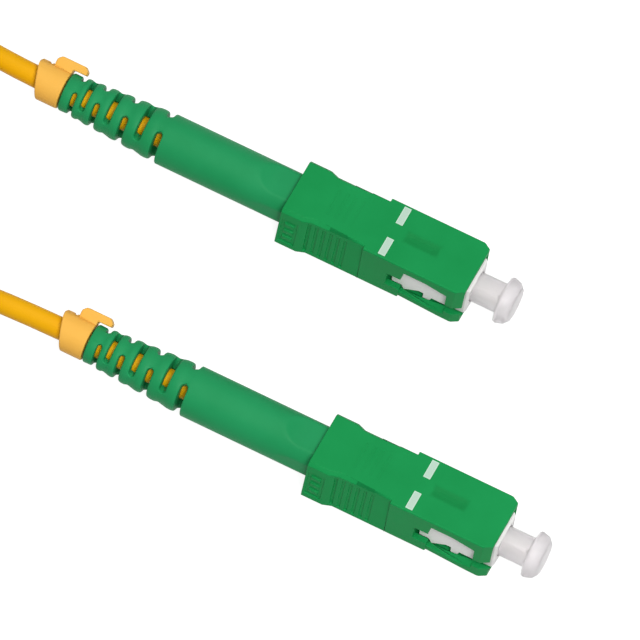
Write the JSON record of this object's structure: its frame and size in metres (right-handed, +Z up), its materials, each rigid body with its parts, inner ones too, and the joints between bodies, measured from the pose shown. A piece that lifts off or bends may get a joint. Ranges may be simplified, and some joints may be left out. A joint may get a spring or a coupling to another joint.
{
  "type": "fibre optic patch cord",
  "caption": "Yellow simplex fibre patch cord with matching green push-pull plugs, dust caps, slotted boots and snap clips on both ends.",
  "frame": {"origin": "on the surface it lies on, under the middle of the two plugs' common box", "axes": "+X along the plugs towards their ferrule tips, +Y to the left from one plug to the other, +Z up from the surface"},
  "size_m": [0.1419, 0.048, 0.0084],
  "materials": {
    "housing_green": "satin moulded polymer",
    "mark_ink": "pale printed index mark",
    "frame_white": "satin moulded polymer",
    "zirconia": "ground and polished",
    "nickel_brass": "nickel plated",
    "guide_natural": "natural",
    "buffer_white": "satin",
    "spring_steel": "drawn wire",
    "stop_nickel": "nickel plated, turned",
    "aramid": "loose yarn",
    "crimp_aluminium": "plain, crimped",
    "boot_green": "soft satin",
    "clip_peach": "satin moulded polymer",
    "cap_white": "milky, slightly translucent",
    "jacket_yellow": "smooth flexible jacket"
  },
  "bodies": {
    "cord_set": {"plug_frame_a": "frame_white", "ferrule_spring_a": "spring_steel", "stop_ring_a": "stop_nickel", "strength_yarn_a": "aramid", "crimp_sleeve_a": "crimp_aluminium", "boot_a": "boot_green", "jacket_end_a": "jacket_yellow", "cord_tube_a": "jacket_yellow", "plug_frame_b": "frame_white", "ferrule_spring_b": "spring_steel", "stop_ring_b": "stop_nickel", "strength_yarn_b": "aramid", "crimp_sleeve_b": "crimp_aluminium", "boot_b": "boot_green", "jacket_end_b": "jacket_yellow", "cord_tube_b": "jacket_yellow", "cord_coil": "jacket_yellow"},
    "grip_a": {"outer_housing_a": "housing_green", "index_marks_a": "mark_ink"},
    "ferrule_set_a": {"ferrule_a": "zirconia", "ferrule_holder_a": "nickel_brass", "guide_tube_a": "guide_natural", "fibre_buffer_a": "buffer_white"},
    "cap_a": {"dust_cap_a": "cap_white"},
    "clip_a": {"tail_clip_a": "clip_peach"},
    "grip_b": {"outer_housing_b": "housing_green", "index_marks_b": "mark_ink"},
    "ferrule_set_b": {"ferrule_b": "zirconia", "ferrule_holder_b": "nickel_brass", "guide_tube_b": "guide_natural", "fibre_buffer_b": "buffer_white"},
    "cap_b": {"dust_cap_b": "cap_white"},
    "clip_b": {"tail_clip_b": "clip_peach"}
  },
  "joints": [
    {"name": "grip_slide_a", "type": "slide", "parent": "cord_set", "child": "grip_a", "axis": [1, 0, 0], "range_m": [-0.002, 0]},
    {"name": "ferrule_float_a", "type": "slide", "parent": "cord_set", "child": "ferrule_set_a", "axis": [1, 0, 0], "range_m": [-0.0012, 0], "stiffness_N_per_m": 1200, "springref_m": 0.004, "deforming": ["ferrule_spring_a"]},
    {"name": "cap_pull_a", "type": "slide", "parent": "ferrule_set_a", "child": "cap_a", "axis": [1, 0, 0], "range_m": [0, 0.012]},
    {"name": "clip_turn_a", "type": "hinge", "parent": "cord_set", "child": "clip_a", "pos_m": [-0.043, 0.01645, 0.00465], "axis": [1, 0, 0], "continuous": true},
    {"name": "grip_slide_b", "type": "slide", "parent": "cord_set", "child": "grip_b", "axis": [1, 0, 0], "range_m": [-0.002, 0]},
    {"name": "ferrule_float_b", "type": "slide", "parent": "cord_set", "child": "ferrule_set_b", "axis": [1, 0, 0], "range_m": [-0.0012, 0], "stiffness_N_per_m": 1200, "springref_m": 0.004, "deforming": ["ferrule_spring_b"]},
    {"name": "cap_pull_b", "type": "slide", "parent": "ferrule_set_b", "child": "cap_b", "axis": [1, 0, 0], "range_m": [0, 0.012]},
    {"name": "clip_turn_b", "type": "hinge", "parent": "cord_set", "child": "clip_b", "pos_m": [-0.023, -0.01645, 0.00465], "axis": [1, 0, 0], "continuous": true}
  ]
}
